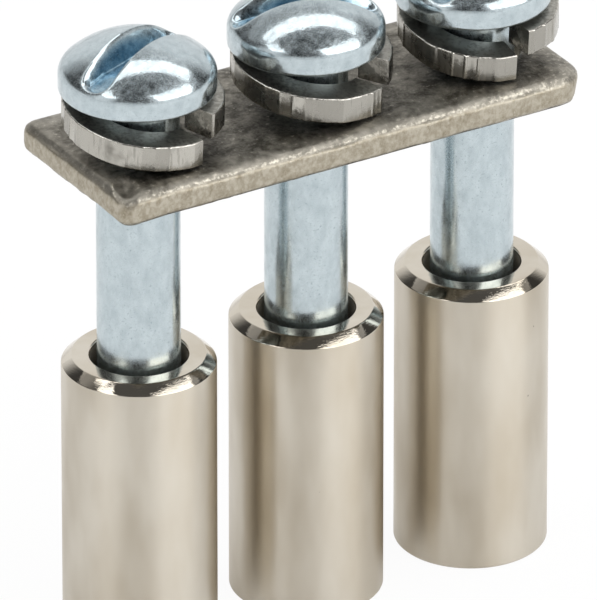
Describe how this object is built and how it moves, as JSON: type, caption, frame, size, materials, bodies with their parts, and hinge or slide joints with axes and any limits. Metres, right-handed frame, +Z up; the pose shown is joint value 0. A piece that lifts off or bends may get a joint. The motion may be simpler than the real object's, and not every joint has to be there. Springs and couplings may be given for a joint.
{
  "type": "terminal jumper",
  "caption": "Flat plated link bar with slotted pan-head screws, split spring washers and turned spacer sleeves, for joining neighbouring rail terminals electrically.",
  "frame": {"origin": "on the axis of the middle screw, in the plane of the sleeve feet", "axes": "+X along the link bar from pole 1 to pole 3, +Y across the bar, +Z up the screws to their heads"},
  "size_m": [0.0227, 0.0086, 0.0274],
  "materials": {
    "plated_bar": "dull grey tin plating, tumbled",
    "zinc_steel": "bright zinc plating with a blue tint",
    "washer_steel": "satin grey spring steel",
    "nickel_brass": "satin nickel plating over turned brass"
  },
  "bodies": {
    "bar": {"link_bar": "plated_bar", "spring_washer_1": "washer_steel", "spring_washer_2": "washer_steel", "spring_washer_3": "washer_steel"},
    "screw_1": {"screw_1": "zinc_steel"},
    "screw_2": {"screw_2": "zinc_steel"},
    "screw_3": {"screw_3": "zinc_steel"},
    "sleeve_1": {"sleeve_1": "nickel_brass"},
    "sleeve_2": {"sleeve_2": "nickel_brass"},
    "sleeve_3": {"sleeve_3": "nickel_brass"}
  },
  "joints": [
    {"name": "screw_1_turn", "type": "hinge", "parent": "bar", "child": "screw_1", "pos_m": [-0.008, 0, 0.0251], "axis": [0, 0, 1], "continuous": true},
    {"name": "screw_2_turn", "type": "hinge", "parent": "bar", "child": "screw_2", "pos_m": [0, 0, 0.0251], "axis": [0, 0, 1], "continuous": true},
    {"name": "screw_3_turn", "type": "hinge", "parent": "bar", "child": "screw_3", "pos_m": [0.008, 0, 0.0251], "axis": [0, 0, 1], "continuous": true},
    {"name": "sleeve_1_slide", "type": "slide", "parent": "bar", "child": "sleeve_1", "axis": [0, 0, 1], "range_m": [0, 0.0083]},
    {"name": "sleeve_2_slide", "type": "slide", "parent": "bar", "child": "sleeve_2", "axis": [0, 0, 1], "range_m": [0, 0.0083]},
    {"name": "sleeve_3_slide", "type": "slide", "parent": "bar", "child": "sleeve_3", "axis": [0, 0, 1], "range_m": [0, 0.0083]}
  ]
}
